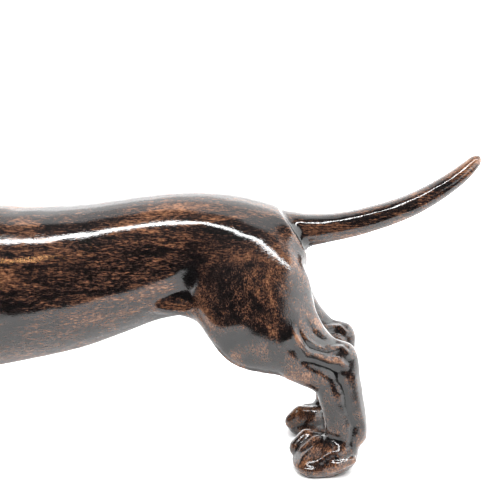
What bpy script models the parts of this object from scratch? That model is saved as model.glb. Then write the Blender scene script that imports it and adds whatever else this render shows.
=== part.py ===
"""A carved and lacquered wooden dachshund figurine, 254 mm long, glued up from shaped blocks and dowels.

The whole dog is first shaped as one form, as a carver shapes a glued-up blank. Each piece of wood is then a
plain block intersected with that form, so that the carved surface runs on across the glue joints.
Frame: the dog faces -X and its tail points to +X, +Z is up, and the origin is on the surface it stands on.
All lengths below are in millimetres, and MM turns them into metres.
"""

import math

import bmesh
import bpy
import numpy as np
from mathutils import Matrix, Vector
from mathutils.bvhtree import BVHTree

MM = 0.001

# Driving dimensions
TAIL_TIP_X = 127.0
LEG_Y = 13.8
HIND_ANKLE_X = 82.0
FRONT_ANKLE_X = -69.5
GLUE_GAP = 0.3
BLOCK_Y = 5.8
BOARD_REACH = 40.0
CUT_REACH = 150.0
DOWEL_R = 1.5
DOWEL_LENGTH = 9.0
NECK_DOWEL_R = 2.5
NECK_DOWEL_LENGTH = 18.0
TENON_R = 3.0
TENON_LENGTH = 12.0
EAR_THICKNESS = 2.4
EYE_R = 2.1
EYE_DEPTH = 1.0
EYE_STEM_R = 0.8
EYE_STEM_LENGTH = 5.0

# How finely the carved form is resolved
MASS_VOXEL, MASS_SMOOTHING = 1.0, 14
DETAIL_VOXEL, DETAIL_SMOOTHING = 0.75, 4
KEPT_SHARE = 0.034

# Torso sections along its grain: x, top, bottom, half width
TORSO = [
    (-96.0, 66.0, 50.0, 6.0),
    (-91.0, 76.0, 40.0, 12.5),
    (-81.0, 84.0, 30.0, 17.0),
    (-66.0, 87.5, 24.5, 18.6),
    (-50.0, 85.5, 24.8, 19.0),
    (-36.0, 83.0, 28.0, 18.8),
    (-20.0, 81.5, 31.2, 18.2),
    (-3.0, 82.0, 35.0, 17.2),
    (10.0, 83.6, 39.6, 16.2),
    (23.0, 85.3, 44.4, 15.4),
    (36.0, 86.0, 46.4, 15.2),
    (50.0, 84.6, 47.0, 15.2),
    (60.0, 82.2, 47.5, 14.4),
    (67.5, 80.2, 50.0, 12.2),
    (70.8, 77.6, 55.5, 8.5),
]
# Masses along each limb: centre x, y, z and radii along x, y, z. Those of a leg are mirrored across y = 0.
HAUNCH = [
    (52.5, 8.0, 65.5, 13.5, 8.8, 12.5),
    (55.2, 11.6, 56.5, 16.2, 8.6, 14.0),
    (56.6, 14.9, 45.6, 17.0, 6.6, 14.6),
    (67.0, 14.4, 39.4, 10.2, 5.9, 10.2),
    (75.0, LEG_Y, 35.4, 7.0, 5.2, 6.6),
]
# The right hind leg trails behind the left one, each of its masses by this share of the distance
TRAILING = {"left": 0.0, "right": 5.0}
HAUNCH_SHARES = (0.16, 0.4, 0.65, 0.75, 0.8)
SHANK_SHARES = (0.75, 0.8, 1.0, 0.7, 0.2, 0.1)
FLANK_FOLD = [
    (40.0, 9.6, 56.0, 9.0, 6.8, 10.0),
    (46.2, 14.4, 47.2, 8.6, 6.0, 8.8),
]
RUMP = [
    (54.0, 0.0, 72.0, 10.0, 12.0, 10.5),
    (66.0, 0.0, 72.5, 7.0, 10.5, 8.6),
]
SHOULDER = [
    (-66.0, 9.5, 62.0, 13.0, 9.4, 15.0),
    (-70.5, 12.0, 52.0, 12.0, 8.2, 11.0),
    (-66.5, 14.4, 41.0, 11.0, 6.4, 9.0),
]
SHANK = [
    (67.0, 14.3, 38.4, 10.5, 5.8, 9.8),
    (75.4, LEG_Y, 31.2, 6.6, 4.6, 6.8),
    (80.0, LEG_Y, 35.2, 5.9, 4.6, 5.8),
    (79.8, LEG_Y, 27.0, 7.2, 4.8, 7.5),
    (82.3, LEG_Y, 15.5, 6.7, 4.8, 5.0),
    (82.2, LEG_Y, 11.6, 6.9, 5.2, 4.2),
]
FOREARM = [
    (-63.5, 14.6, 38.0, 9.2, 6.2, 9.0),
    (-67.5, 14.4, 25.0, 6.8, 5.5, 7.0),
    (-69.8, LEG_Y, 12.5, 6.2, 5.5, 5.0),
]
NECK = [
    (-66.0, 0.0, 70.0, 18.0, 15.5, 16.5),
    (-77.0, 0.0, 84.0, 13.8, 12.8, 13.2),
    (-84.5, 0.0, 97.0, 12.0, 11.2, 11.4),
    (-88.0, 0.0, 105.5, 11.0, 11.6, 10.7),
]
SKULL = [
    (-88.0, 0.0, 106.0, 10.7, 12.2, 10.4),
    (-97.0, 0.0, 106.0, 9.2, 11.0, 9.6),
    (-102.5, 0.0, 103.6, 8.2, 8.8, 8.4),
]
MUZZLE = [
    (-100.5, 0.0, 103.0, 8.4, 8.4, 8.2),
    (-112.0, 0.0, 101.0, 7.2, 6.9, 7.3),
    (-121.0, 0.0, 99.8, 5.3, 5.6, 5.9),
]
BROW = [(-100.6, 4.6, 109.2, 3.6, 3.4, 3.4), (-94.5, 5.6, 110.8, 4.0, 3.8, 3.8)]
NOSE = [(-123.9, 0.0, 102.9, 3.1, 3.4, 2.7), (-121.0, 0.0, 102.6, 3.2, 3.2, 3.2)]
# A paw's masses, counted from the ground under its ankle, with its toes towards -x
PAW = [
    (-1.8, 0.0, 6.6, 6.2, 5.8, 6.9),
    (-5.5, 0.2, 4.8, 6.5, 7.0, 6.4),
    (-10.2, 0.2, 3.4, 6.2, 7.3, 4.8),
]
# Toes: knuckle x, y across the paw and tip x
TOES = [(-7.0, -5.4, -10.6), (-9.2, -1.9, -14.0), (-8.6, 2.1, -12.8), (-4.6, 5.6, -8.4)]
KNUCKLE_Z, TOE_TIP_Z = 6.4, 4.4
KNUCKLE_RADII = (3.4, 2.3, 4.3)
TOE_TIP_RADII = (2.8, 2.2, 2.9)

# The tail is set into a face that is sawn across the back of the rump, sloping down and back
TAIL_JOINT = (66.3, 74.1)
TAIL_TILT = math.radians(-57)
# Tail centreline from inside its joint to the tip: x, z, radius
TAIL = [
    (58.0, 74.1, 6.6),
    (66.3, 74.1, 5.9),
    (72.6, 74.2, 5.45),
    (78.8, 74.9, 4.8),
    (85.4, 76.0, 4.5),
    (91.9, 77.7, 4.3),
    (98.5, 79.7, 4.05),
    (105.0, 82.2, 3.85),
    (111.6, 85.6, 3.55),
    (118.1, 89.8, 3.15),
    (122.4, 93.3, 2.75),
    (125.2, 96.0, 2.2),
    (126.4, 97.2, 1.7),
    (TAIL_TIP_X, 97.9, 0.8),
]
# An ear's rows from its root in the skull to its tip: centre x, y, z and half width
EAR = [
    (-88.5, 8.0, 112.0, 3.4),
    (-88.8, 11.6, 111.8, 4.6),
    (-89.2, 13.6, 109.0, 6.4),
    (-90.0, 14.3, 104.0, 8.0),
    (-91.0, 14.2, 98.0, 8.7),
    (-92.0, 13.8, 92.0, 7.6),
    (-92.6, 13.4, 88.0, 4.8),
    (-92.8, 13.2, 86.2, 2.0),
]
# Where each eye looks from, and towards which point inside the skull it is set: x, y, z
EYE_OUTSIDE = (-112.0, 24.0, 114.0)
EYE_INSIDE = (-100.5, 2.0, 106.4)

# The curved upper edges, in the x, z plane, of the boards that the legs are carved from
HAUNCH_EDGE = [
    (35.5, 42.0),
    (34.8, 58.0),
    (39.5, 70.0),
    (52.0, 76.0),
    (64.0, 73.0),
    (76.0, 67.0),
    (98.0, 62.0),
]
SHOULDER_EDGE = [
    (-53.5, 20.0),
    (-52.0, 56.0),
    (-57.0, 69.5),
    (-67.0, 73.5),
    (-77.5, 69.0),
    (-85.0, 50.0),
    (-92.0, 20.0),
]
BOARD_BOTTOM = -3.0
# Where two dowels cross each board's glue joint, and the neck joint's middle: x, z
HAUNCH_DOWELS = [(47.0, 63.0), (60.0, 57.0)]
SHOULDER_DOWELS = [(-61.0, 62.0), (-72.0, 50.0)]
NECK_JOINT = (-77.5, 85.5)
NECK_TILT = math.radians(30)

# Finishes: colour and roughness
LACQUERED_WOOD = ((0.085, 0.042, 0.024), 0.22)
BARE_BEECH = ((0.62, 0.43, 0.26), 0.6)
DARK_GLASS = ((0.02, 0.01, 0.006), 0.05)
CREASE = math.radians(40)
SIDES = {"left": -1, "right": 1}


def clear_scene():
    for old in list(bpy.data.objects):
        bpy.data.objects.remove(old)


def spline(points, steps):
    """Rows on a smooth curve through the given rows, with this many steps between each two."""
    rows = np.array(points, float)
    ends = np.vstack([2 * rows[0] - rows[1], rows, 2 * rows[-1] - rows[-2]])
    found = []
    for a, b, c, d in zip(ends, ends[1:], ends[2:], ends[3:]):
        for t in np.arange(steps) / steps:
            bend = (2 * a - 5 * b + 4 * c - d) * t**2 + (3 * b - a - 3 * c + d) * t**3
            found.append(0.5 * (2 * b + (c - a) * t + bend))
    return [[float(v) for v in row] for row in [*found, rows[-1]]]


def circle(count):
    return [(math.cos(2 * math.pi * i / count), math.sin(2 * math.pi * i / count)) for i in range(count)]


def loft(bm, rings):
    """Adds a closed skin through rings of points with equal counts, capped at both ends."""
    made = [[bm.verts.new(Vector(p) * MM) for p in ring] for ring in rings]
    for low, high in zip(made, made[1:]):
        for i in range(len(low)):
            j = (i + 1) % len(low)
            bm.faces.new((low[i], low[j], high[j], high[i]))
    bm.faces.new(made[0][::-1])
    bm.faces.new(made[-1])


def chain(bm, masses, side=1):
    """Adds hulls, each around two neighbouring ellipsoids of the chain, mirrored where side is -1."""
    for pair in zip(masses, masses[1:]):
        points = []
        for x, y, z, *radii in pair:
            place = Matrix.Translation(Vector((x, y * side, z)) * MM) @ Matrix.Diagonal((*radii, 1))
            mass = bmesh.ops.create_uvsphere(bm, u_segments=24, v_segments=14, radius=MM, matrix=place)
            points += mass["verts"]
        hull = bmesh.ops.convex_hull(bm, input=points)
        bmesh.ops.delete(bm, geom=list({*hull["geom_interior"], *hull["geom_unused"]}), context="VERTS")


def object_from(bm, name):
    mesh = bpy.data.meshes.new(name)
    bmesh.ops.recalc_face_normals(bm, faces=bm.faces)
    bm.to_mesh(mesh)
    bm.free()
    obj = bpy.data.objects.new(name, mesh)
    bpy.context.scene.collection.objects.link(obj)
    return obj


def helper(obj):
    """Marks an object that only shapes others."""
    obj.hide_render = True
    obj.display_type = "WIRE"
    return obj


def evaluated_mesh(obj):
    return bpy.data.meshes.new_from_object(obj.evaluated_get(bpy.context.evaluated_depsgraph_get()))


def fused(obj, voxel, smoothing):
    """Turns overlapping masses into one skin and softens the creases between them."""
    remesh = obj.modifiers.new("fuse", "REMESH")
    remesh.mode = "VOXEL"
    remesh.voxel_size = voxel * MM
    smooth = obj.modifiers.new("blend", "SMOOTH")
    smooth.factor = 0.5
    smooth.iterations = smoothing
    return helper(obj)


def torso_rings():
    for x, top, bottom, half in spline(TORSO, 4):
        middle, rise = (top + bottom) / 2, (top - bottom) / 2
        yield [(x, half * c, middle + rise * s) for c, s in circle(32)]


def trailing(masses, shares, word):
    return [(x + TRAILING[word] * share, *rest) for (x, *rest), share in zip(masses, shares)]


def body_masses():
    """The big masses, blended softly into each other."""
    bm = bmesh.new()
    loft(bm, list(torso_rings()))
    for masses in (NECK, SKULL, RUMP):
        chain(bm, masses)
    for word, side in SIDES.items():
        for masses in (trailing(HAUNCH, HAUNCH_SHARES, word), FLANK_FOLD, SHOULDER):
            chain(bm, masses, side)
    return fused(object_from(bm, "body_masses"), MASS_VOXEL, MASS_SMOOTHING)


def paw(bm, ankle_x, side):
    chain(bm, [(ankle_x + x, LEG_Y + y, *rest) for x, y, *rest in PAW], side)
    for knuckle_x, across, tip_x in TOES:
        knuckle = (ankle_x + knuckle_x, LEG_Y + across, KNUCKLE_Z, *KNUCKLE_RADII)
        tip = (ankle_x + tip_x, LEG_Y + across, TOE_TIP_Z, *TOE_TIP_RADII)
        chain(bm, [knuckle, tip], side)


def carved_form():
    """The whole dog apart from its ears, eyes and tail, with the legs, paws and face kept crisper."""
    bm = bmesh.new()
    for masses in (MUZZLE, NOSE):
        chain(bm, masses)
    for word, side in SIDES.items():
        for masses in (BROW, trailing(SHANK, SHANK_SHARES, word), FOREARM):
            chain(bm, masses, side)
        paw(bm, HIND_ANKLE_X, side)
        paw(bm, FRONT_ANKLE_X, side)
    bm.from_mesh(evaluated_mesh(body_masses()))
    form = fused(object_from(bm, "carved_form"), DETAIL_VOXEL, DETAIL_SMOOTHING)
    thin = form.modifiers.new("thin", "DECIMATE")
    thin.ratio = KEPT_SHARE
    boolean(form, "DIFFERENCE", half_space("ground", (0, 0), math.pi))
    boolean(form, "DIFFERENCE", half_space("tail_face", TAIL_JOINT, TAIL_TILT))
    return form


def grown(bm, distance):
    """Moves a convex-cornered solid's faces outwards by this distance."""
    bmesh.ops.recalc_face_normals(bm, faces=bm.faces)
    bm.normal_update()
    moves = [v.normal * v.calc_shell_factor() * distance * MM for v in bm.verts]
    for vert, move in zip(bm.verts, moves):
        vert.co += move


def board(name, edge, side, clearance=0.0):
    """The board on one side of the dog that a leg is carved from."""
    outline = [(edge[0][0], BOARD_BOTTOM), *spline(edge, 4), (edge[-1][0], BOARD_BOTTOM)]
    bm = bmesh.new()
    loft(bm, [[(x, side * y, z) for x, z in outline] for y in (BLOCK_Y, BOARD_REACH)])
    grown(bm, clearance)
    return helper(object_from(bm, name))


def half_space(name, point, tilt, clearance=0.0):
    """A big block whose flat base passes through a point in the x, z plane, tilted towards -x."""
    up = Vector((-math.sin(tilt), 0, math.cos(tilt)))
    along = Vector((math.cos(tilt), 0, math.sin(tilt)))
    middle = Vector((point[0], 0, point[1])) - up * clearance
    corners = ((-1, -1), (1, -1), (1, 1), (-1, 1))
    base = [middle + (along * a + Vector((0, b, 0))) * CUT_REACH for a, b in corners]
    bm = bmesh.new()
    loft(bm, [base, [p + up * CUT_REACH for p in base]])
    return helper(object_from(bm, name))


def rod(name, start, end, radius, sides=20):
    """A round rod between two points."""
    start, end = Vector(start), Vector(end)
    turn = (end - start).to_track_quat("Z", "Y").to_matrix()
    bm = bmesh.new()
    rim = [turn @ Vector((radius * c, radius * s, 0)) for c, s in circle(sides)]
    loft(bm, [[p + arm for arm in rim] for p in (start, end)])
    return object_from(bm, name)


def socket_for(name, start, end, radius):
    """The helper that bores a rod's socket, with room for glue all round."""
    clear = (Vector(end) - Vector(start)).normalized() * GLUE_GAP
    return helper(rod(name + "_socket", Vector(start) - clear, Vector(end) + clear, radius + GLUE_GAP))


def dowel(name, start, end, radius):
    return rod(name, start, end, radius), socket_for(name, start, end, radius)


def boolean(obj, operation, other):
    step = obj.modifiers.new(operation.lower(), "BOOLEAN")
    step.operation = operation
    step.object = other


def copy_of(form, name):
    obj = bpy.data.objects.new(name, form.data)
    bpy.context.scene.collection.objects.link(obj)
    return obj


def finish(obj, finish_name, look):
    """Settles a piece's shape, shades it smooth between its creases and gives it its finish."""
    settled = evaluated_mesh(obj)
    obj.modifiers.clear()
    obj.data = settled
    settled.shade_smooth()
    settled.set_sharp_from_angle(angle=CREASE)
    colour, roughness = look
    material = bpy.data.materials.new(f"{obj.name} {finish_name}")
    material.use_nodes = True
    shader = material.node_tree.nodes["Principled BSDF"]
    shader.inputs["Base Color"].default_value = (*colour, 1)
    shader.inputs["Roughness"].default_value = roughness
    shader.inputs["Metallic"].default_value = 0
    settled.materials.clear()
    settled.materials.append(material)


def tail_rings():
    """The tapering, upswept tail, in sections square to its centreline."""
    line = spline(TAIL, 2)
    for k, (x, z, r) in enumerate(line):
        ahead, behind = line[min(k + 1, len(line) - 1)], line[max(k - 1, 0)]
        rise = math.atan2(ahead[1] - behind[1], ahead[0] - behind[0])
        yield [(x - r * s * math.sin(rise), r * c, z + r * s * math.cos(rise)) for c, s in circle(16)]


def tail():
    """The tail, cut to lie against the rump's sawn face, with its tenon, and the cutter for its bore."""
    bm = bmesh.new()
    loft(bm, list(tail_rings()))
    obj = object_from(bm, "tail")
    x, z = TAIL_JOINT
    start, end = (x - TENON_LENGTH, 0, z), (x + TENON_LENGTH, 0, z)
    boolean(obj, "DIFFERENCE", half_space("tail_shoulder", TAIL_JOINT, TAIL_TILT + math.pi, GLUE_GAP))
    boolean(obj, "UNION", helper(rod("tenon", start, (x + TENON_R, 0, z), TENON_R)))
    return obj, socket_for("tenon", start, end, TENON_R)


def ear(name, side, clearance=0.0):
    """A drop ear: a leaf that leaves the skull at its root and hangs beside the cheek."""
    bm = bmesh.new()
    half_thick = EAR_THICKNESS / 2
    rings = []
    rows = spline(EAR, 2)
    for k, (x, y, z, half) in enumerate(rows):
        ahead, behind = rows[min(k + 1, len(rows) - 1)], rows[max(k - 1, 0)]
        run = Vector((0, side * (ahead[1] - behind[1]), ahead[2] - behind[2])).normalized()
        across = run.cross(Vector((-1, 0, 0)))
        rings.append([Vector((x + half * c, side * y, z)) + across * half_thick * s for c, s in circle(14)])
    loft(bm, rings)
    if clearance:
        grown(bm, clearance)
    return object_from(bm, name)


def eye(name, side, skin):
    """A glass eye on its stem, and the helper that cuts its socket."""
    mirror = Vector((1, side, 1))
    outside, inside = Vector(EYE_OUTSIDE) * mirror, Vector(EYE_INSIDE) * mirror
    inwards = (inside - outside).normalized()
    hit = skin.ray_cast(outside * MM, inwards)[0] / MM
    centre = hit + inwards * EYE_DEPTH
    made = []
    for label, clearance in ((name, 0.0), (name + "_socket", GLUE_GAP)):
        bm = bmesh.new()
        ball = bmesh.ops.create_uvsphere(bm, u_segments=16, v_segments=8, radius=(EYE_R + clearance) * MM)
        bmesh.ops.translate(bm, verts=ball["verts"], vec=centre * MM)
        obj = object_from(bm, label)
        stem_end = centre + inwards * (EYE_STEM_LENGTH + clearance)
        boolean(obj, "UNION", helper(rod(label + "_stem", centre, stem_end, EYE_STEM_R + clearance, 12)))
        made.append(obj)
    return made[0], helper(made[1])


def join_neck(body, head):
    """Parts the head from the body along a slanting flat joint and returns the dowel across it."""
    middle = Vector((NECK_JOINT[0], 0, NECK_JOINT[1]))
    reach = Vector((-math.sin(NECK_TILT), 0, math.cos(NECK_TILT))) * NECK_DOWEL_LENGTH / 2
    pin, socket = dowel("neck_dowel", middle - reach, middle + reach, NECK_DOWEL_R)
    boolean(head, "INTERSECT", half_space("head_block", NECK_JOINT, NECK_TILT))
    boolean(body, "DIFFERENCE", half_space("head_block_grown", NECK_JOINT, NECK_TILT, GLUE_GAP))
    boolean(head, "DIFFERENCE", socket)
    boolean(body, "DIFFERENCE", socket)
    return pin


def join_leg(body, leg, edge, places, side):
    """Carves a leg from its board, lets the board into the body's side and returns the joint's dowels."""
    boolean(leg, "INTERSECT", board(leg.name + "_board", edge, side))
    boolean(body, "DIFFERENCE", board(leg.name + "_board_grown", edge, side, GLUE_GAP))
    near, far = (side * (BLOCK_Y + reach * DOWEL_LENGTH / 2) for reach in (-1, 1))
    pins = []
    for number, (x, z) in enumerate(places, 1):
        pin, socket = dowel(f"{leg.name}_dowel_{number}", (x, near, z), (x, far, z), DOWEL_R)
        boolean(leg, "DIFFERENCE", socket)
        boolean(body, "DIFFERENCE", socket)
        pins.append(pin)
    return pins


def settled_form():
    """The carved form as one plain mesh, which every block is intersected with."""
    blank = carved_form()
    form = helper(bpy.data.objects.new("form", evaluated_mesh(blank)))
    bpy.context.scene.collection.objects.link(form)
    bpy.data.objects.remove(blank)
    return form


def build():
    clear_scene()
    form = settled_form()
    skin = BVHTree.FromObject(form, bpy.context.evaluated_depsgraph_get())
    body, head = copy_of(form, "body"), copy_of(form, "head")
    set_in_tail, bore = tail()
    boolean(body, "DIFFERENCE", bore)
    wooden, eyes = [body, head, set_in_tail], []
    dowels = [join_neck(body, head)]
    for word, side in SIDES.items():
        hind_leg, front_leg = copy_of(form, f"hind_leg_{word}"), copy_of(form, f"front_leg_{word}")
        dowels += join_leg(body, hind_leg, HAUNCH_EDGE, HAUNCH_DOWELS, side)
        dowels += join_leg(body, front_leg, SHOULDER_EDGE, SHOULDER_DOWELS, side)
        boolean(head, "DIFFERENCE", helper(ear(f"ear_{word}_seat", side, GLUE_GAP)))
        wooden += [hind_leg, front_leg, ear(f"ear_{word}", side)]
        ball, socket = eye(f"eye_{word}", side, skin)
        boolean(head, "DIFFERENCE", socket)
        eyes.append(ball)
    for pieces, name, look in (
        (wooden, "lacquered wood", LACQUERED_WOOD),
        (dowels, "bare beech", BARE_BEECH),
        (eyes, "dark glass", DARK_GLASS),
    ):
        for obj in pieces:
            finish(obj, name, look)


build()
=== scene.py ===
"""The looks of a carved, stained and lacquered wooden dachshund figurine.

The wooden blocks of the frame are closed over their glue joints into one fine skin, as a carver works the
glued-up blank. The skin is smoothed, carved in finer detail and parted again along the joints, so that each
block keeps its own piece. Shapes are worked out in millimetres, in the frame's own axes: the dog faces -x.
"""

import math

import bmesh
import bpy
import numpy as np
from mathutils import Matrix, Vector
from mathutils.bvhtree import BVHTree


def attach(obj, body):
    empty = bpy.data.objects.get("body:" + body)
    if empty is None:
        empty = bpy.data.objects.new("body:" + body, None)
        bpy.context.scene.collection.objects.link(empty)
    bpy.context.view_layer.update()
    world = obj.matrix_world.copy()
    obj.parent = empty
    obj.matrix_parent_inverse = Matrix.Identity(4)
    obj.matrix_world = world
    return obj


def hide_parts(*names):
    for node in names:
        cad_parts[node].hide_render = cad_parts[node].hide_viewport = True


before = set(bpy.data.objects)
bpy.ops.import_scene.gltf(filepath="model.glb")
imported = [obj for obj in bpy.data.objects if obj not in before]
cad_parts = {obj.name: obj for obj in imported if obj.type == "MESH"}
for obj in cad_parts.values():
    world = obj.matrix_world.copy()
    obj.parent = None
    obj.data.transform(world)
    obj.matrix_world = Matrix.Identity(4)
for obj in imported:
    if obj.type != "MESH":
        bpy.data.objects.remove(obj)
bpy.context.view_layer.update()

MM = 0.001
BLOCKS = [
    "body",
    "head",
    "tail",
    "front_leg_left",
    "front_leg_right",
    "hind_leg_left",
    "hind_leg_right",
]
LEGS = [name for name in BLOCKS if "leg" in name]
SIDES = {"left": -1, "right": 1}
# How far each block grows to close its joints, and at most how many times that at a sharp edge
JOINT_CLOSING, SHARPEST_EDGE = 0.22, 1.5
# Voxel sizes, and rounds of smoothing before the carving and after it
FORM_VOXEL, FORM_SMOOTHING = 1.0, 70
SKIN_VOXEL, SKIN_SMOOTHING, CARVING_SMOOTHING = 0.42, 12, 2
STEP_IN, STEP_OUT = 0.5, 0.515
# Rounds that even out the parting lines, and that give the level around each point
PARTING_ROUNDS, LEVEL_ROUNDS = 8, 30

# Slopes are written as (where nothing is left of something, where it is full).
# Where the form is smoothed less, to keep thin shapes: paws by height, face by x, tail by x and z
FORM_PAWS, FORM_FACE = (14.0, 9.0), (-104.0, -112.0)
FORM_TAIL_X, FORM_TAIL_Z = (64.0, 72.0), (60.0, 66.0)
PAWS_KEPT, FACE_KEPT, TAIL_KEPT = 0.4, 0.8, 0.8
SKIN_PAWS = (13.0, 11.0)
# Where the hips are faired, and how many times
HIPS_X = (32, 40), (65, 59)
HIPS_Z = (56, 62), (86, 80)
HIP_FAIRING = 40

# Toes from the inner to the outer one, each a chain of masses counted from the ground under the ankle:
# x towards the heel, y across the paw away from the other leg, z, and radii. The outer toes are lower and
# set further back.
TOES = [
    [(-6.0, -3.4, 8.4, 2.2, 2.2, 2.0), (-11.3, -4.0, 7.3, 3.2, 2.6, 3.8), (-14.1, -3.7, 5.2, 2.8, 2.4, 2.9)],
    [(-3.0, -0.7, 9.0, 2.2, 2.2, 1.8), (-8.4, -0.7, 7.0, 3.6, 2.7, 3.5), (-11.8, -0.6, 5.1, 2.7, 2.5, 2.9)],
    [(0.6, 2.2, 7.6, 2.0, 2.0, 1.8), (-4.6, 2.6, 6.9, 3.4, 2.7, 3.1), (-7.4, 2.8, 5.4, 2.6, 2.5, 2.7)],
    [(1.4, 4.4, 5.6, 1.4, 1.6, 1.4), (-4.0, 5.6, 4.6, 3.0, 2.3, 2.2), (-5.8, 5.6, 3.9, 2.2, 2.1, 1.9)],
]
# How far each leg's middle is from the dog's, and how far apart a paw's points are from its ankle at most
LEG_Y, PAW_REACH = 13.8, 25
# The height under which a leg's foremost point is its toe tip, and how far behind that its ankle is
TOE_TOP, PAW_LENGTH = 9.0, 16.7
TOE_BED_DEPTH, TOE_BED_SLOPE = 1.1, 3.5
TOE_BED_LOW, TOE_BED_HIGH = (2.6, 4.6), (14.0, 11.5)
# The sawn face that the tail is set against, in x, z, and the crease along it: width, height
TAIL_JOINT = [(62.3, 80.4), (70.3, 68.0)]
TAIL_CREASE = (1.2, -0.45)
TAIL_CREASE_Z = (60.0, 63.0)

# A line on a leg fades where the surface turns away from the side, and close to the middle of the dog
FACING_SIDE, OUT_FROM_MIDDLE = (0.15, 0.55), (5.0, 8.0)

# Lines carved into both faces of each hock and shank: how wide, how high (or, if negative, how deep),
# and their path in x, z
HIND_CARVING = [
    (
        2.5,
        -1.0,
        [(77.0, 33.5), (79.6, 29.0), (81.0, 25.7), (81.4, 22.7), (82.4, 19.5), (83.9, 15.8), (82.4, 8.0)],
    ),
    (2.4, 0.5, [(83.0, 35.0), (84.3, 26.3), (85.4, 20.0), (87.6, 12.0)]),
    (
        1.35,
        1.35,
        [(64.0, 47.5), (66.2, 43.0), (69.2, 39.2), (73.0, 37.7), (76.4, 36.2), (79.3, 35.8), (82.4, 33.0)],
    ),
    (3.4, -0.85, [(62.5, 43.5), (68.2, 36.8), (73.0, 34.8), (77.0, 33.2), (80.5, 31.0)]),
    (0.95, 0.65, [(66.6, 46.5), (69.2, 42.6), (71.8, 40.8), (74.5, 39.7), (80.0, 39.6), (83.2, 37.2)]),
    (1.8, -0.35, [(68.0, 50.5), (70.6, 44.8), (73.6, 42.4), (77.0, 41.2), (82.0, 40.6)]),
    (3.0, 0.35, [(73.0, 34.0), (77.0, 26.0), (78.6, 20.0), (79.6, 11.0)]),
]
# On the outer face of each haunch: its swelling middle, the hollow below it and the rise along its top edge
HAUNCH_SHAPING = [
    (22.0, 1.2, [(34.0, 70.0), (46.0, 60.0), (56.0, 50.0), (64.0, 42.0), (72.0, 36.0)]),
    (14.0, -1.2, [(44.0, 46.0), (49.0, 39.0), (56.0, 33.0), (64.0, 29.0)]),
    (
        11.0,
        0.7,
        [(28.0, 76.5), (37.9, 75.8), (48.2, 74.7), (56.1, 71.7), (62.3, 67.3), (67.5, 61.0), (71.0, 52.0)],
    ),
]
# The flank draws in ahead of the haunch, from one height down to where it is at its full depth
FLANK_VALLEY = (9.0, -2.1, [(36.5, 76.0), (35.5, 66.0), (34.0, 58.0), (32.0, 51.0)])
VALLEY_TOP, VALLEY_FULL = 72.0, 56.0
# The thin edge of the fold of skin between the belly and the thigh: x, y, z and radii. It is faired into the
# form around it before the carving, and eased again after it.
FLANK_WEB = [
    (21.0, 9.2, 50.4, 2.2, 2.0, 1.6),
    (25.0, 10.2, 50.2, 2.6, 2.8, 2.2),
    (30.0, 10.4, 50.2, 2.6, 3.0, 2.4),
    (34.5, 10.5, 49.3, 2.6, 3.0, 2.4),
    (38.0, 11.0, 47.3, 2.6, 2.8, 2.3),
    (41.0, 12.2, 44.2, 2.4, 2.4, 2.2),
]
WEB_X = (15, 22), (48, 42)
WEB_Z = (40, 45), (61, 55)
WEB_FAIRING, WEB_EASING = 60, 45
# The ridge along the back: width, height, and where it rises and fades
SPINE = (20.0, 0.85)
SPINE_Z = (68, 76)
SPINE_ENDS = [(-72.0, -56.0), (72.0, 60.0)]
# Lines carved into the front legs: width, height, path in x, z
FRONT_CARVING = [
    (2.4, -0.8, [(-62.6, 36.0), (-64.4, 30.0), (-66.4, 24.0), (-67.8, 18.0), (-67.4, 11.0)]),
    (2.4, 0.5, [(-60.6, 34.0), (-62.4, 27.0), (-64.4, 20.0), (-64.6, 14.0)]),
    (2.6, -0.7, [(-76.0, 41.0), (-70.0, 37.5), (-64.0, 38.0), (-58.0, 41.0)]),
    (3.2, -0.5, [(-58.0, 66.0), (-63.0, 58.0), (-66.0, 50.0), (-66.0, 42.0)]),
]
# How far the right hind leg trails behind the left one, by height
TRAIL_Z = [8.0, 15.5, 27.0, 33.0, 40.0, 46.0, 56.0, 66.0]
TRAIL_X = [0.5, 1.0, 3.5, 4.7, 4.2, 3.3, 2.0, 0.8]

# Lines carved into each side of the face, which are the mouth, nostril, edge of the nose, muzzle and cheek:
# width, height, path in x, y, z
MOUTH = [
    (-127.0, 0.6, 98.6),
    (-123.0, 3.2, 98.2),
    (-116.0, 6.0, 97.4),
    (-108.0, 7.6, 97.4),
    (-101.5, 8.8, 99.4),
]
NOSE_EDGE = [
    (-120.6, 0.0, 106.2),
    (-121.2, 2.6, 105.2),
    (-122.0, 4.2, 102.4),
    (-123.6, 3.6, 100.2),
    (-125.4, 0.0, 99.4),
]
FACE_CARVING = [
    (1.1, -0.75, MOUTH),
    (1.1, -0.9, [(-127.4, 1.3, 103.0), (-126.4, 2.6, 102.4), (-124.6, 3.4, 103.2)]),
    (1.0, -0.5, NOSE_EDGE),
    (3.2, -0.55, [(-118.0, 3.8, 105.6), (-111.0, 4.6, 106.8), (-105.0, 5.6, 106.6)]),
    (5.0, 0.6, [(-104.0, 9.0, 101.0), (-97.0, 11.0, 100.0), (-91.0, 11.5, 99.0)]),
]
FACE_BACK, NOSE_BACK = -88, -120.8
# The direction that each eye looks in
EYE_LOOK = {word: Vector((-11.5, side * 22.0, 7.6)).normalized() for word, side in SIDES.items()}
EYE_R = 2.1
EYE_STEM_R, EYE_STEM_LENGTH = 0.8, 4.0
EYE_SIDES, EYE_ROWS = 40, 20
# The lid around each eye: radius, width, height, and how far it lies ahead of the eye's centre
LID_R, LID_WIDTH, LID_HEIGHT, LID_FORWARD = 2.55, 1.2, 0.55, 0.6
RING_POINTS = 24
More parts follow.
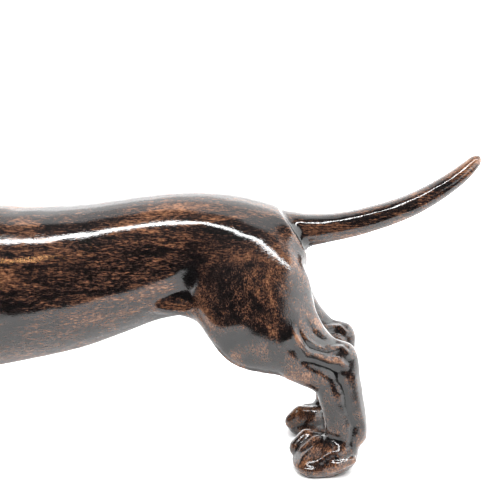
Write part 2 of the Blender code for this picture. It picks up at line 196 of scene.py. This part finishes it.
# Lines carved into each ear's outer face: width, height, path in x, z
EAR_CARVING = [
    (4.6, 0.55, [(-86.0, 112.0), (-86.6, 104.0), (-88.6, 96.0), (-91.0, 89.0)]),
    (4.0, -0.55, [(-90.0, 110.0), (-91.6, 103.0), (-92.6, 96.0), (-92.8, 90.0)]),
    (2.6, 0.35, [(-96.0, 106.0), (-97.4, 100.0), (-96.4, 94.0)]),
]
EAR_VOXEL, EAR_SMOOTHING, EAR_EASING = 0.45, 30, 3
EAR_OUTER = (0.2, 0.6)

# How far a point stands proud, or lies deep, in millimetres, where its finish is all worn, or where the
# painted shade of the hollows is at its darkest
WORN_AT, HOLLOW_SHADE_AT = 0.5, 0.35


def new_object(name, mesh):
    obj = bpy.data.objects.new(name, mesh)
    bpy.context.scene.collection.objects.link(obj)
    return obj


def evaluated_mesh(obj):
    return bpy.data.meshes.new_from_object(obj.evaluated_get(bpy.context.evaluated_depsgraph_get()))


def read(collection, attribute, width, kind=float):
    """One attribute of all vertices, edges or faces as an array."""
    out = np.empty(len(collection) * width, kind)
    collection.foreach_get(attribute, out)
    return out.reshape(-1, width) if width > 1 else out


def put_points(mesh, co):
    mesh.vertices.foreach_set("co", (co * MM).astype(np.float32).ravel())
    mesh.update()


def neighbours(count, edges):
    """Each point's neighbours as rows of one table, padded with the point itself, and how many there are."""
    both = np.vstack([edges, edges[:, ::-1]])
    both = both[np.argsort(both[:, 0], kind="stable")]
    start = np.searchsorted(both[:, 0], np.arange(count))
    rank = np.arange(len(both)) - start[both[:, 0]]
    table = np.tile(np.arange(count)[:, None], (1, rank.max() + 1))
    table[both[:, 0], rank] = both[:, 1]
    return table, np.bincount(both[:, 0], minlength=count)


def average(values, table, degree):
    """The mean of each point's neighbours."""
    spare = (table.shape[1] - degree)[:, None]
    return (values[table].sum(1) - spare * values) / degree[:, None]


def smoothed(co, table, degree, rounds, weight=1.0):
    """Takes out short bumps and keeps the volume: each step in is followed by a slightly longer step out."""
    for _ in range(rounds):
        co = co + STEP_IN * weight * (average(co, table, degree) - co)
        co = co - STEP_OUT * weight * (average(co, table, degree) - co)
    return co


def faired(co, table, degree, weight, rounds):
    """Draws each point towards its neighbours, as far as its weight lets it."""
    for _ in range(rounds):
        co = co + STEP_IN * weight[:, None] * (average(co, table, degree) - co)
    return co


def chain(bm, masses):
    """Adds hulls, each around two neighbouring ellipsoids: centre x, y, z and radii along x, y, z."""
    for pair in zip(masses, masses[1:]):
        points = []
        for x, y, z, *radii in pair:
            place = Matrix.Translation(Vector((x, y, z)) * MM) @ Matrix.Diagonal((*radii, 1))
            mass = bmesh.ops.create_uvsphere(bm, u_segments=20, v_segments=12, radius=MM, matrix=place)
            points += mass["verts"]
        hull = bmesh.ops.convex_hull(bm, input=points)
        bmesh.ops.delete(bm, geom=list({*hull["geom_interior"], *hull["geom_unused"]}), context="VERTS")


def ankle(leg):
    """The x and y of the ground under a leg's ankle, and the leg's side."""
    toe_tip = min(v.co.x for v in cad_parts[leg].data.vertices if v.co.z < TOE_TOP * MM) / MM
    side = SIDES[leg.split("_")[-1]]
    return toe_tip + PAW_LENGTH, side * LEG_Y, side


def add_toes(bm, leg):
    ankle_x, paw_y, side = ankle(leg)
    for toe in TOES:
        chain(bm, [(ankle_x + x, paw_y + side * y, *rest) for x, y, *rest in toe])


def toe_beds(co):
    """Where the form is let in to make room for the toes, from 0 to 1."""
    bed = np.zeros(len(co))
    for leg in LEGS:
        ankle_x, paw_y, side = ankle(leg)
        own = (np.abs(co[:, 0] - ankle_x) < PAW_REACH) & (side * co[:, 1] > 0)
        bed = np.maximum(bed, own * smoothstep(ankle_x, ankle_x - TOE_BED_SLOPE, co[:, 0]))
    return bed * smoothstep(*TOE_BED_LOW, co[:, 2]) * smoothstep(*TOE_BED_HIGH, co[:, 2])


def remeshed(bm, voxel):
    """One closed skin around everything in a bmesh, at this voxel size."""
    mesh = bpy.data.meshes.new("blank")
    bm.to_mesh(mesh)
    bm.free()
    blank = new_object("blank", mesh)
    remesh = blank.modifiers.new("skin", "REMESH")
    remesh.mode = "VOXEL"
    remesh.voxel_size = voxel * MM
    skin = evaluated_mesh(blank)
    bpy.data.objects.remove(blank)
    keep_largest(skin)
    return skin


def points_and_table(mesh):
    """A mesh's points in millimetres, and their neighbours."""
    co = read(mesh.vertices, "co", 3) / MM
    return co, *neighbours(len(co), read(mesh.edges, "vertices", 2, int))


def blank_form():
    """The wooden blocks joined into one smooth form, with their glue joints closed."""
    bm = bmesh.new()
    for name in BLOCKS:
        bm.from_mesh(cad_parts[name].data)
    bmesh.ops.remove_doubles(bm, verts=bm.verts, dist=1e-6)
    bm.normal_update()
    moves = [v.normal * min(v.calc_shell_factor(), SHARPEST_EDGE) * JOINT_CLOSING * MM for v in bm.verts]
    for vert, move in zip(bm.verts, moves):
        vert.co += move
    form = remeshed(bm, FORM_VOXEL)
    co, table, degree = points_and_table(form)
    paws = smoothstep(*FORM_PAWS, co[:, 2])
    face = smoothstep(*FORM_FACE, co[:, 0])
    tail = smoothstep(*FORM_TAIL_X, co[:, 0]) * smoothstep(*FORM_TAIL_Z, co[:, 2])
    weight = 1 - np.max([PAWS_KEPT * paws, FACE_KEPT * face, TAIL_KEPT * tail], axis=0)
    co = smoothed(co, table, degree, FORM_SMOOTHING, weight[:, None])
    hips = window(co[:, 0], *HIPS_X) * window(co[:, 2], *HIPS_Z)
    co = faired(co, table, degree, hips, HIP_FAIRING)
    put_points(form, co)
    inward = JOINT_CLOSING + TOE_BED_DEPTH * toe_beds(co)
    co -= read(form.vertices, "normal", 3) * inward[:, None]
    put_points(form, co)
    return form


def carving_skin():
    """The form with its toes and the folds at its flanks added, fine enough to carve."""
    bm = bmesh.new()
    for name in LEGS:
        add_toes(bm, name)
    for side in SIDES.values():
        chain(bm, [(x, side * y, *rest) for x, y, *rest in FLANK_WEB])
    bm.from_mesh(blank_form())
    return remeshed(bm, SKIN_VOXEL)


def keep_largest(mesh):
    """Drops everything but the largest connected part of a mesh."""
    edges = read(mesh.edges, "vertices", 2, int)
    label = np.arange(len(mesh.vertices))
    while True:
        low = np.minimum(label[edges[:, 0]], label[edges[:, 1]])
        fresh = label.copy()
        np.minimum.at(fresh, edges[:, 0], low)
        np.minimum.at(fresh, edges[:, 1], low)
        fresh = fresh[fresh]
        if (fresh == label).all():
            break
        label = fresh
    largest = np.bincount(label).argmax()
    bm = bmesh.new()
    bm.from_mesh(mesh)
    bm.verts.ensure_lookup_table()
    bmesh.ops.delete(bm, geom=[bm.verts[i] for i in np.flatnonzero(label != largest)], context="VERTS")
    bm.to_mesh(mesh)
    bm.free()


def smoothstep(edge_0, edge_1, x):
    """Rises smoothly from 0 at the first edge to 1 at the second, which may be the lower one."""
    t = np.clip((x - edge_0) / (edge_1 - edge_0), 0, 1)
    return t * t * (3 - 2 * t)


def window(values, rise, fall):
    """One between two slopes, fading to nothing beyond them."""
    return smoothstep(*rise, values) * smoothstep(*fall, values)


def to_path(points, path):
    """Each point's distance to a path of straight stretches, and how far along it the nearest place is."""
    path = np.array(path, float)
    lengths = np.linalg.norm(np.diff(path, axis=0), axis=1)
    best, along = np.full(len(points), np.inf), np.zeros(len(points))
    for a, b, length, before in zip(path, path[1:], lengths, np.cumsum(lengths) - lengths):
        t = np.clip((points - a) @ (b - a) / length**2, 0, 1)
        distance = np.linalg.norm(points - a - t[:, None] * (b - a), axis=1)
        nearer = distance < best
        best = np.where(nearer, distance, best)
        along = np.where(nearer, (before + t * length) / lengths.sum(), along)
    return best, along


def tapered(along):
    """Fades a carved line in and out at its ends."""
    return smoothstep(0.0, 0.22, along) * smoothstep(1.0, 0.85, along)


def stroke(distance, width, height):
    """How far a carved line lifts the surface, by the distance from its middle."""
    return np.exp(-((distance / (width / 2)) ** 2)) * height


def side_lines(co, normal, carving, side, trail):
    """The lift of all the lines carved into both faces of one leg."""
    place = co[:, [0, 2]] - np.column_stack([trail, np.zeros(len(co))])
    faces = smoothstep(*FACING_SIDE, np.abs(normal[:, 1])) * smoothstep(*OUT_FROM_MIDDLE, side * co[:, 1])
    lift = np.zeros(len(co))
    for width, height, path in carving:
        distance, along = to_path(place, path)
        lift += stroke(distance, width, height) * tapered(along)
    return lift * faces


def eye_centre(word):
    """The centre of a glass eye whose front is where the CAD eye's is."""
    look = EYE_LOOK[word]
    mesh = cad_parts["eye_" + word].data
    front = max(mesh.vertices, key=lambda v: v.co @ look).co
    return front / MM - look * EYE_R


def ring(centre, axis, radius):
    """A closed circle of points around an axis."""
    turn = axis.to_track_quat("Z", "Y")
    angles = [2 * math.pi * i / RING_POINTS for i in range(RING_POINTS + 1)]
    return [centre + turn @ Vector((radius * math.cos(a), radius * math.sin(a), 0)) for a in angles]


def face_lines(co):
    """The lift of the lines of the face and of the lids around the eyes."""
    lift = np.zeros(len(co))
    near = np.flatnonzero(co[:, 0] < FACE_BACK)
    for word, side in SIDES.items():
        for width, height, path in FACE_CARVING:
            distance, along = to_path(co[near], [(x, side * y, z) for x, y, z in path])
            lift[near] += stroke(distance, width, height) * tapered(along)
        lid = ring(eye_centre(word) + EYE_LOOK[word] * LID_FORWARD, EYE_LOOK[word], LID_R)
        lift[near] += stroke(to_path(co[near], lid)[0], LID_WIDTH, LID_HEIGHT)
    return lift


def carved(co, normal):
    """Carves the tail's joint, the face, the back's ridge, the flanks, the haunches and the legs."""
    lift = stroke(to_path(co[:, [0, 2]], TAIL_JOINT)[0], *TAIL_CREASE) * smoothstep(*TAIL_CREASE_Z, co[:, 2])
    lift += face_lines(co)
    spine = stroke(np.abs(co[:, 1]), *SPINE) * smoothstep(*SPINE_Z, co[:, 2])
    for far, near in SPINE_ENDS:
        spine *= smoothstep(far, near, co[:, 0])
    lift += spine
    for word, side in SIDES.items():
        trail = np.interp(co[:, 2], TRAIL_Z, TRAIL_X) if word == "right" else np.zeros(len(co))
        lift += side_lines(co, normal, HIND_CARVING, side, trail)
        lift += side_lines(co, normal, HAUNCH_SHAPING, side, trail) * (side * normal[:, 1] > 0)
        valley = side_lines(co, normal, [FLANK_VALLEY], side, np.zeros(len(co)))
        lift += valley * smoothstep(VALLEY_TOP, VALLEY_FULL, co[:, 2])
        lift += side_lines(co, normal, FRONT_CARVING, side, np.zeros(len(co)))
    return co + normal * lift[:, None]


def block_of_faces(skin, faces, table, degree):
    """Which block each face belongs to: the nearest one at each point, evened out along the joints."""
    verts, polys, owner = [], [], []
    for number, name in enumerate(BLOCKS):
        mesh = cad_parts[name].data
        first = len(verts)
        verts += [v.co for v in mesh.vertices]
        polys += [[first + i for i in p.vertices] for p in mesh.polygons]
        owner += [number] * len(mesh.polygons)
    tree = BVHTree.FromPolygons(verts, polys)
    near = [owner[tree.find_nearest(v.co)[2]] for v in skin.vertices]
    share = np.eye(len(BLOCKS))[near]
    for _ in range(PARTING_ROUNDS):
        share = average(share, table, degree)
    return share[faces].sum(1).argmax(1)


def rims(quads):
    """The closed rims of an open patch, as rows of points in the order of their faces."""
    around = np.vstack([quads[:, [i, (i + 1) % 4]] for i in range(4)])
    known = {tuple(e) for e in around.tolist()}
    after = {}
    for a, b in known:
        if (b, a) not in known:
            after.setdefault(a, []).append(b)
    while after:
        start = min(after)
        rim, at = [], start
        while at in after:
            rim.append(at)
            following = after[at].pop()
            if not after[at]:
                del after[at]
            at = following
        yield rim


def part_skin(skin, co, quads, blocks, wear_and_shade):
    """Parts the skin into one closed piece for each block, which keeps the skin's own normals outside."""
    normal = read(skin.vertices, "normal", 3)
    for number, name in enumerate(BLOCKS):
        own = quads[blocks == number]
        used, local = np.unique(own, return_inverse=True)
        faces = local.reshape(own.shape).tolist()
        points = co[used].tolist()
        inside = []
        for rim in rims(np.array(faces)):
            points.append(np.mean([points[i] for i in rim], axis=0).tolist())
            inside += [(b, a, len(points) - 1) for a, b in zip(rim, rim[1:] + rim[:1])]
        mesh = bpy.data.meshes.new(name + "_skin")
        mesh.from_pydata([[c * MM for c in p] for p in points], [], faces + inside)
        mesh.shade_smooth()
        mesh.update()
        loops = read(mesh.loops, "vertex_index", 1, int)
        outer = len(faces) * 4
        kept = np.empty((len(loops), 3))
        kept[:outer] = normal[used][loops[:outer]]
        kept[outer:] = np.repeat(read(mesh.polygons, "normal", 3)[len(faces):], 3, axis=0)
        mesh.normals_split_custom_set(kept.tolist())
        spare = np.zeros(len(points) - len(used))
        add_layers(mesh, *(np.concatenate([values[used], spare]) for values in wear_and_shade))
        piece = new_object(name + "_skin", mesh)
        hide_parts(name)
        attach(piece, "root")
        yield name, piece


def surroundings(co, table, degree):
    """The level around each point, against which it stands proud or lies in a hollow."""
    level = co
    for _ in range(LEVEL_ROUNDS):
        level = average(level, table, degree)
    return level


def wear_and_shade_layers(mesh, co, table, degree):
    """Where the finish is worn thin, on what stands proud, and where shade is painted, in the hollows."""
    proud = ((co - surroundings(co, table, degree)) * read(mesh.vertices, "normal", 3)).sum(1)
    return np.clip(proud / WORN_AT, 0, 1), np.clip(-proud / HOLLOW_SHADE_AT, 0, 1)


def add_layers(mesh, wear, hollow_shade):
    # The first layer is real wear on what stands proud, the second is painted shade in the hollows
    for label, values in ("wear", wear), ("hollow_shade", hollow_shade):
        layer = mesh.attributes.new(label, "FLOAT", "POINT")
        layer.data.foreach_set("value", values.astype(np.float32))


def ear(word):
    """A drop ear with a rolled back edge and a shallow fold."""
    name = "ear_" + word
    bm = bmesh.new()
    bm.from_mesh(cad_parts[name].data)
    mesh = remeshed(bm, EAR_VOXEL)
    co, table, degree = points_and_table(mesh)
    co = smoothed(co, table, degree, EAR_SMOOTHING)
    put_points(mesh, co)
    normal = read(mesh.vertices, "normal", 3)
    outer = smoothstep(*EAR_OUTER, SIDES[word] * normal[:, 1])
    lift = np.zeros(len(co))
    for width, height, path in EAR_CARVING:
        distance, along = to_path(co[:, [0, 2]], path)
        lift += stroke(distance, width, height) * tapered(along)
    co = smoothed(co + normal * (lift * outer)[:, None], table, degree, EAR_EASING)
    put_points(mesh, co)
    mesh.shade_smooth()
    add_layers(mesh, *wear_and_shade_layers(mesh, co, table, degree))
    piece = new_object(name + "_skin", mesh)
    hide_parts(name)
    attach(piece, "root")
    return piece


def eye(word):
    """A glass ball on its stem, turned as one shape about the direction that the eye looks in."""
    name = "eye_" + word
    stem_angle = math.pi - math.asin(EYE_STEM_R / EYE_R)
    ball = [(EYE_R * math.sin(a), EYE_R * math.cos(a)) for a in np.linspace(0, stem_angle, EYE_ROWS)[1:]]
    profile = [*ball, (EYE_STEM_R, -EYE_R - EYE_STEM_LENGTH)]
    verts = [(0, 0, EYE_R * MM)]
    for radius, height in profile:
        for i in range(EYE_SIDES):
            angle = 2 * math.pi * i / EYE_SIDES
            verts.append((radius * math.cos(angle) * MM, radius * math.sin(angle) * MM, height * MM))
    faces = [(0, 1 + i, 1 + (i + 1) % EYE_SIDES) for i in range(EYE_SIDES)]
    for row in range(len(profile) - 1):
        low, high = 1 + row * EYE_SIDES, 1 + (row + 1) * EYE_SIDES
        for i in range(EYE_SIDES):
            j = (i + 1) % EYE_SIDES
            faces.append((low + i, high + i, high + j, low + j))
    faces.append(tuple(1 + (len(profile) - 1) * EYE_SIDES + i for i in reversed(range(EYE_SIDES))))
    mesh = bpy.data.meshes.new(name + "_glass")
    mesh.from_pydata(verts, [], faces)
    mesh.shade_smooth()
    piece = new_object(name + "_glass", mesh)
    piece.location = eye_centre(word) * MM
    piece.rotation_mode = "QUATERNION"
    piece.rotation_quaternion = EYE_LOOK[word].to_track_quat("Z", "Y")
    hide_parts(name)
    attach(piece, "root")
    return piece


# ---- materials
class Nodes:
    """A short way to build a node tree: each call makes a node, sets its values and links its inputs."""

    def __init__(self, tree):
        self.tree = tree

    def __call__(self, kind, inputs=None, **settings):
        node = self.tree.nodes.new(kind)
        for key, value in settings.items():
            setattr(node, key, value)
        for key, value in (inputs or {}).items():
            if isinstance(value, bpy.types.NodeSocket):
                self.tree.links.new(value, node.inputs[key])
            else:
                node.inputs[key].default_value = value
        return node

    def math(self, operation, a, b=0.5):
        return self("ShaderNodeMath", {0: a, 1: b}, operation=operation).outputs[0]

    def blend(self, factor, a, b):
        """b by the factor and a by the rest, for plain numbers."""
        return self("ShaderNodeMix", {0: factor, 2: a, 3: b}).outputs[0]

    def noise(self, place, size, detail=3.0, roughness=0.6, distortion=0.0):
        """Noise with features of this size in metres."""
        node = self(
            "ShaderNodeTexNoise",
            {
                "Vector": place,
                "Scale": 1 / size,
                "Detail": detail,
                "Roughness": roughness,
                "Distortion": distortion,
            },
        )
        return node.outputs["Fac"]

    def stretched(self, place, scale):
        return self("ShaderNodeMapping", {"Vector": place, "Scale": scale}).outputs["Vector"]

    def ramp(self, factor, stops):
        node = self("ShaderNodeValToRGB", {"Fac": factor})
        elements = node.color_ramp.elements
        while len(elements) < len(stops):
            elements.new(0.5)
        for element, (position, colour) in zip(elements, stops):
            element.position = position
            element.color = (*colour, 1)
        return node.outputs["Color"]

    def bump(self, height, strength, distance, under=None):
        """Bump of this strength and depth in metres, on top of another bump if one is given."""
        inputs = {"Strength": strength, "Distance": distance, "Height": height}
        if under is not None:
            inputs["Normal"] = under
        return self("ShaderNodeBump", inputs).outputs["Normal"]

    def between(self, value, low, high):
        """Rises smoothly from 0 at low to 1 at high."""
        return self(
            "ShaderNodeMapRange",
            {"Value": value, "From Min": low, "From Max": high},
            interpolation_type="SMOOTHSTEP",
        ).outputs["Result"]


# The colour of the stained wood, from its darkest figure to its lightest
STAIN = [
    (0.440, (0.0010, 0.0007, 0.0007)),
    (0.485, (0.0050, 0.0028, 0.0025)),
    (0.520, (0.0200, 0.0095, 0.0065)),
    (0.560, (0.0700, 0.0300, 0.0155)),
    (0.620, (0.2000, 0.0890, 0.0420)),
]
# How the figure is stretched along the body and up the legs, and where in x and z a leg begins, in metres
GRAIN_STRETCH = [(0.26, 1.0, 1.0), (1.0, 1.0, 0.7)]
HIND_LEG_X, FRONT_LEG_X, LEG_TOP = (0.030, 0.052), (-0.050, -0.062), (0.078, 0.058)
# Layers of the figure: size in metres, detail, roughness, distortion, and share of the whole
FIGURE = [
    (0.00042, 3.0, 0.75, 0.0, 0.40),
    (0.0016, 4.0, 0.7, 0.4, 0.24),
    (0.0105, 3.0, 0.6, 0.8, 0.36),
]
# Wear lightens what stands proud, painted shade darkens the hollows, and the nose is stained dark
WEAR_LIGHTENS, HOLLOW_SHADE_DARKENS, NOSE_DARKENS = 0.055, 0.09, 0.14
NOSE_BLEND = 0.8
# The lacquer's gloss is cut on what faces down: painted shade in its reflection, standing in for the
# shadowed floor under the belly
LACQUER, COAT_IN_PAINTED_SHADE = 1.0, 0.06
PAINTED_SHADE_FACING = (-0.62, -1.0)
BEECH = [(0.35, (0.42, 0.25, 0.13)), (0.5, (0.60, 0.41, 0.25)), (0.65, (0.70, 0.52, 0.34))]


def lacquered_wood():
    """Stained wood under thin gloss lacquer. Its grain runs along the body, and upright in the legs."""
    material = bpy.data.materials.new("lacquered_wood")
    material.use_nodes = True
    tree = material.node_tree
    tree.nodes.clear()
    n = Nodes(tree)
    place = n("ShaderNodeTexCoord").outputs["Object"]
    x, _, z = n("ShaderNodeSeparateXYZ", {0: place}).outputs
    leg_x = n.math("MAXIMUM", n.between(x, *HIND_LEG_X), n.between(x, *FRONT_LEG_X))
    upright = n.math("MULTIPLY", leg_x, n.between(z, *LEG_TOP))
    fields = []
    for stretch in GRAIN_STRETCH:
        along = n.stretched(place, stretch)
        fine, *coarser = [(n.noise(along, *form), share) for *form, share in FIGURE]
        mixed = n.math("MULTIPLY", *fine)
        for layer in coarser:
            mixed = n.math("ADD", mixed, n.math("MULTIPLY", *layer))
        fields.append((mixed, fine[0]))
    figure, fine = (n.blend(upright, along, up) for along, up in zip(*fields))
    worn = n("ShaderNodeAttribute", attribute_name="wear").outputs["Fac"]
    hollow_shade_mask = n("ShaderNodeAttribute", attribute_name="hollow_shade").outputs["Fac"]
    nose = n.between(x, NOSE_BACK * MM, (NOSE_BACK - NOSE_BLEND) * MM)
    figure = n.math("ADD", figure, n.math("MULTIPLY", worn, WEAR_LIGHTENS))
    # Painted shade: the hollows are darkened as if shadowed
    figure = n.math("SUBTRACT", figure, n.math("MULTIPLY", hollow_shade_mask, HOLLOW_SHADE_DARKENS))
    figure = n.math("SUBTRACT", figure, n.math("MULTIPLY", nose, NOSE_DARKENS))
    facing_z = n("ShaderNodeSeparateXYZ", {0: n("ShaderNodeTexCoord").outputs["Normal"]}).outputs[2]
    waves = n.bump(n.noise(place, 0.0045, 2.0, 0.5), 0.12, 0.0004)
    grain = n.bump(fine, 0.16, 0.0001, waves)
    sparkle = n.bump(n.noise(place, 0.00045, 2.0, 0.6), n.blend(upright, 0.22, 0.42), 0.0001, waves)
    shader = n(
        "ShaderNodeBsdfPrincipled",
        {
            "Base Color": n.ramp(figure, STAIN),
            "Roughness": n.blend(figure, 0.65, 0.4),
            "Specular IOR Level": 0.05,
            # Painted shade in the reflection: the coat fades on faces turned down, as if the floor they
            # mirror were shadowed
            "Coat Weight": n.blend(n.between(facing_z, *PAINTED_SHADE_FACING), LACQUER, COAT_IN_PAINTED_SHADE),
            "Coat Roughness": 0.04,
            "Coat IOR": 1.5,
            "Normal": grain,
            "Coat Normal": sparkle,
        },
    )
    n("ShaderNodeOutputMaterial", {"Surface": shader.outputs["BSDF"]})
    return material


def bare_beech():
    """Pale beech with its fine flecks, along each dowel."""
    material = bpy.data.materials.new("bare_beech")
    material.use_nodes = True
    n = Nodes(material.node_tree)
    shader = material.node_tree.nodes["Principled BSDF"]
    place = n("ShaderNodeTexCoord").outputs["Object"]
    along = n.stretched(place, (1.0, 0.2, 1.0))
    grain = n.noise(along, 0.0009, 4.0, 0.65)
    flecks = n.noise(along, 0.0003, 2.0, 0.5)
    looks = {
        "Base Color": n.ramp(grain, BEECH),
        "Roughness": n.between(grain, 0.2, 1.2),
        "Normal": n.bump(flecks, 0.3, 0.0001),
    }
    for name, value in looks.items():
        material.node_tree.links.new(value, shader.inputs[name])
    return material


def dark_glass():
    """A dark brown glass eye with a black pupil, a mottled iris and a darker rim."""
    material = bpy.data.materials.new("dark_glass")
    material.use_nodes = True
    n = Nodes(material.node_tree)
    shader = material.node_tree.nodes["Principled BSDF"]
    place = n("ShaderNodeTexCoord").outputs["Object"]
    x, y, _ = n("ShaderNodeSeparateXYZ", {0: place}).outputs
    across = n.math("SQRT", n.math("ADD", n.math("MULTIPLY", x, x), n.math("MULTIPLY", y, y)))
    flecks = n.noise(n.stretched(place, (1.0, 1.0, 0.2)), 0.0003, 3.0, 0.7)
    frayed = n.math("ADD", across, n.math("MULTIPLY", flecks, 0.0004))
    rings = [
        (0.0, (0.002, 0.0015, 0.001)),
        (0.40, (0.002, 0.0015, 0.001)),
        (0.50, (0.055, 0.022, 0.008)),
        (0.72, (0.028, 0.011, 0.005)),
        (0.85, (0.004, 0.002, 0.002)),
    ]
    colour = n.ramp(n.math("DIVIDE", frayed, EYE_R * MM), rings)
    material.node_tree.links.new(colour, shader.inputs["Base Color"])
    material.node_tree.links.new(n.between(flecks, -1.5, 9.0), shader.inputs["Roughness"])
    shader.inputs["Coat Weight"].default_value = 1.0
    shader.inputs["Coat Roughness"].default_value = 0.02
    return material


# ---- stage, lights and camera
def plane(name, x, y, z_0, z_1, colour, glow=0.0):
    """A flat card of the stage from one corner to the opposite one, which may give off some light."""
    mesh = bpy.data.meshes.new(name)
    corners = [(x[0], y[0], z_0), (x[1], y[0], z_0), (x[1], y[1], z_1), (x[0], y[1], z_1)]
    mesh.from_pydata(corners, [], [(0, 1, 2, 3)])
    obj = new_object(name, mesh)
    material = bpy.data.materials.new(name)
    material.use_nodes = True
    shader = material.node_tree.nodes["Principled BSDF"]
    shader.inputs["Base Color"].default_value = (*colour, 1)
    shader.inputs["Roughness"].default_value = 0.7
    shader.inputs["Emission Color"].default_value = (1, 1, 1, 1)
    shader.inputs["Emission Strength"].default_value = glow
    mesh.materials.append(material)
    return obj


def side_card(name, x, y, z, glow):
    """A pale upright card beside the scene, facing the dog."""
    card = plane(name, (0, y[1] - y[0]), (0, 0), z[0], z[1], (0.8, 0.8, 0.8), glow)
    card.location = (x, y[0], 0)
    card.rotation_euler.z = math.pi / 2
    return card


def unreflected(obj):
    """A plain pale surround for any other view, which the lacquer doesn't mirror."""
    obj.visible_glossy = False
    return obj


def area_light(name, place, target, size, radiance, colour=(1, 1, 1)):
    """A soft light of this size and radiance, aimed at the target and out of the camera's sight."""
    light = bpy.data.lights.new(name, "AREA")
    light.shape = "RECTANGLE"
    light.size, light.size_y = size
    light.energy = radiance * math.pi * size[0] * size[1]
    light.color = colour
    obj = bpy.data.objects.new(name, light)
    bpy.context.scene.collection.objects.link(obj)
    obj.location = place
    obj.visible_camera = False
    aim = Vector(target) - Vector(place)
    obj.rotation_mode = "QUATERNION"
    obj.rotation_quaternion = aim.to_track_quat("-Z", "Y")
    return obj


# ---- the work, in order
skin = carving_skin()
co, table, degree = points_and_table(skin)
paws = smoothstep(*SKIN_PAWS, co[:, 2])
co = smoothed(co, table, degree, SKIN_SMOOTHING, 1 - PAWS_KEPT * paws[:, None])
web = window(co[:, 0], *WEB_X) * window(co[:, 2], *WEB_Z)
co = faired(co, table, degree, web, WEB_FAIRING)
put_points(skin, co)
co = carved(co, read(skin.vertices, "normal", 3))
co = smoothed(co, table, degree, CARVING_SMOOTHING)
co = faired(co, table, degree, web, WEB_EASING)
co[:, 2] = np.maximum(co[:, 2], 0)
put_points(skin, co)

quads = read(skin.polygons, "vertices", 4, int)
wear_and_shade = wear_and_shade_layers(skin, co, table, degree)
blocks = block_of_faces(skin, quads, table, degree)
pieces = dict(part_skin(skin, co, quads, blocks, wear_and_shade))
ears = [ear(word) for word in SIDES]
eyes = [eye(word) for word in SIDES]

wood, beech, glass = lacquered_wood(), bare_beech(), dark_glass()
for piece in (*pieces.values(), *ears):
    piece.data.materials.clear()
    piece.data.materials.append(wood)
for piece in eyes:
    piece.data.materials.append(glass)
for name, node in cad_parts.items():
    if "dowel" in name:
        for slot in node.material_slots:
            slot.material = beech

# The lacquer mirrors the floor only from this near edge to the back, and the rest of it is for other views
floor_side, room_side = 1.2, 1.8
room_front, edge, back = -1.6, -0.088, 0.9
paper = (0.86, 0.86, 0.86)
plane("floor", (-floor_side, floor_side), (edge, back), 0, 0, paper)
unreflected(plane("floor_front", (-room_side, room_side), (room_front, edge), 0, 0, paper))
unreflected(plane("floor_left", (-room_side, -floor_side), (edge, back), 0, 0, paper))
unreflected(plane("floor_right", (floor_side, room_side), (edge, back), 0, 0, paper))
plane("backdrop", (-2.5, 2.5), (back, back), -0.1, 1.8, (0.9, 0.9, 0.9), 1.3)
side_card("wall", 1.0, (room_front, 0.85), (0.0, 0.9), 2.6).visible_diffuse = False
area_light("strip", (0.0, -0.75, 0.95), (0.0, 0, 0.08), (3.0, 0.075), 58)
area_light("ceiling", (0.0, -0.06, 1.25), (0, -0.06, 0), (2.4, 0.42), 2.2)
area_light("back_ceiling", (0.0, 0.54, 1.25), (0, 0.54, 0), (2.4, 0.78), 3.4)
fill = area_light("fill", (0.0, -0.05, 1.4), (0, 0, 0), (1.2, 0.9), 5.8)
fill.visible_glossy = False
# A small warm lamp that only the body's piece sees, so that its glint lies on the flank alone
lamp = area_light("lamp", (-0.59, -1.31, 0.70), (0, 0, 0.06), (0.03, 0.05), 170, (1, 0.5, 0.2))
lit = bpy.data.collections.new("lit_by_lamp")
lit.objects.link(pieces["body"])
lamp.light_linking.receiver_collection = lit

# Pale walls around the rest of the room, for other views
room_height, room_glow = 2.2, 0.95
for side in (-1, 1):
    room = side_card("room", side * room_side, (room_front, back), (0.0, room_height), room_glow)
    unreflected(room).visible_diffuse = False
front_y = (room_front, room_front)
front = plane("room_front", (-room_side, room_side), front_y, 0, room_height, (0.8, 0.8, 0.8), room_glow)
unreflected(front).visible_diffuse = False

world = bpy.data.worlds.new("room")
bpy.context.scene.world = world
world.use_nodes = True
world.node_tree.nodes["Background"].inputs["Color"].default_value = (0.55, 0.6, 0.66, 1)
world.node_tree.nodes["Background"].inputs["Strength"].default_value = 0.03

camera = bpy.data.cameras.new("camera")
camera.lens = 36
camera.sensor_width = 36
camera.clip_start = 0.01
view = bpy.data.objects.new("camera", camera)
bpy.context.scene.collection.objects.link(view)
view.location = (0.0526, -0.1638, 0.08025)
fall_per_metre = 0.078
view.rotation_euler = (math.pi / 2 - math.atan(fall_per_metre), 0, 0)
bpy.context.scene.camera = view
bpy.context.scene.view_settings.view_transform = "Standard"
